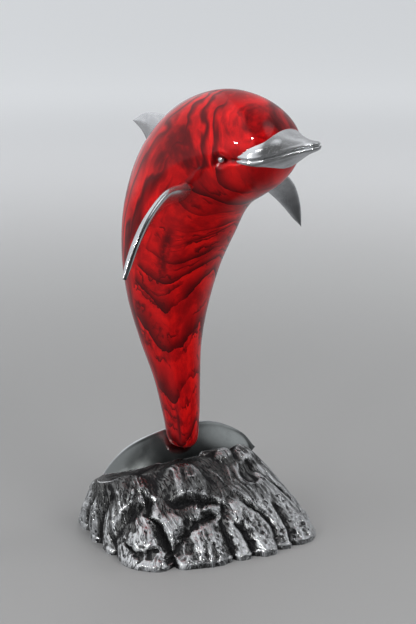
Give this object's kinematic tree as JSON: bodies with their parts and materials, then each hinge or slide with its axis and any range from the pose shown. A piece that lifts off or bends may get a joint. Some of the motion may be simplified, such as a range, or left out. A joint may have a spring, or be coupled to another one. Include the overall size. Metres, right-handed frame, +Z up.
{
  "type": "metal dolphin statue",
  "caption": "Leaping dolphin standing on its flukes on a carved rock, enamelled body with bare polished beak, fins and flukes.",
  "frame": {"origin": "on the table, in the flat underside, under the middle of the rock", "axes": "+Z up along the statue's height, -Y out of the rock's straight front side, +X to that side's right as seen from the front"},
  "size_m": [0.2539, 0.2132, 0.424],
  "materials": {
    "red_enamel": "gloss marbled enamel, bare polished metal on beak, eyes, fins and flukes",
    "antiqued_aluminium": "cast rock texture, dark patina in the hollows, worn bright on the ridges"
  },
  "bodies": {
    "root": {"dolphin": "red_enamel", "rock_base": "antiqued_aluminium"}
  },
  "joints": []
}
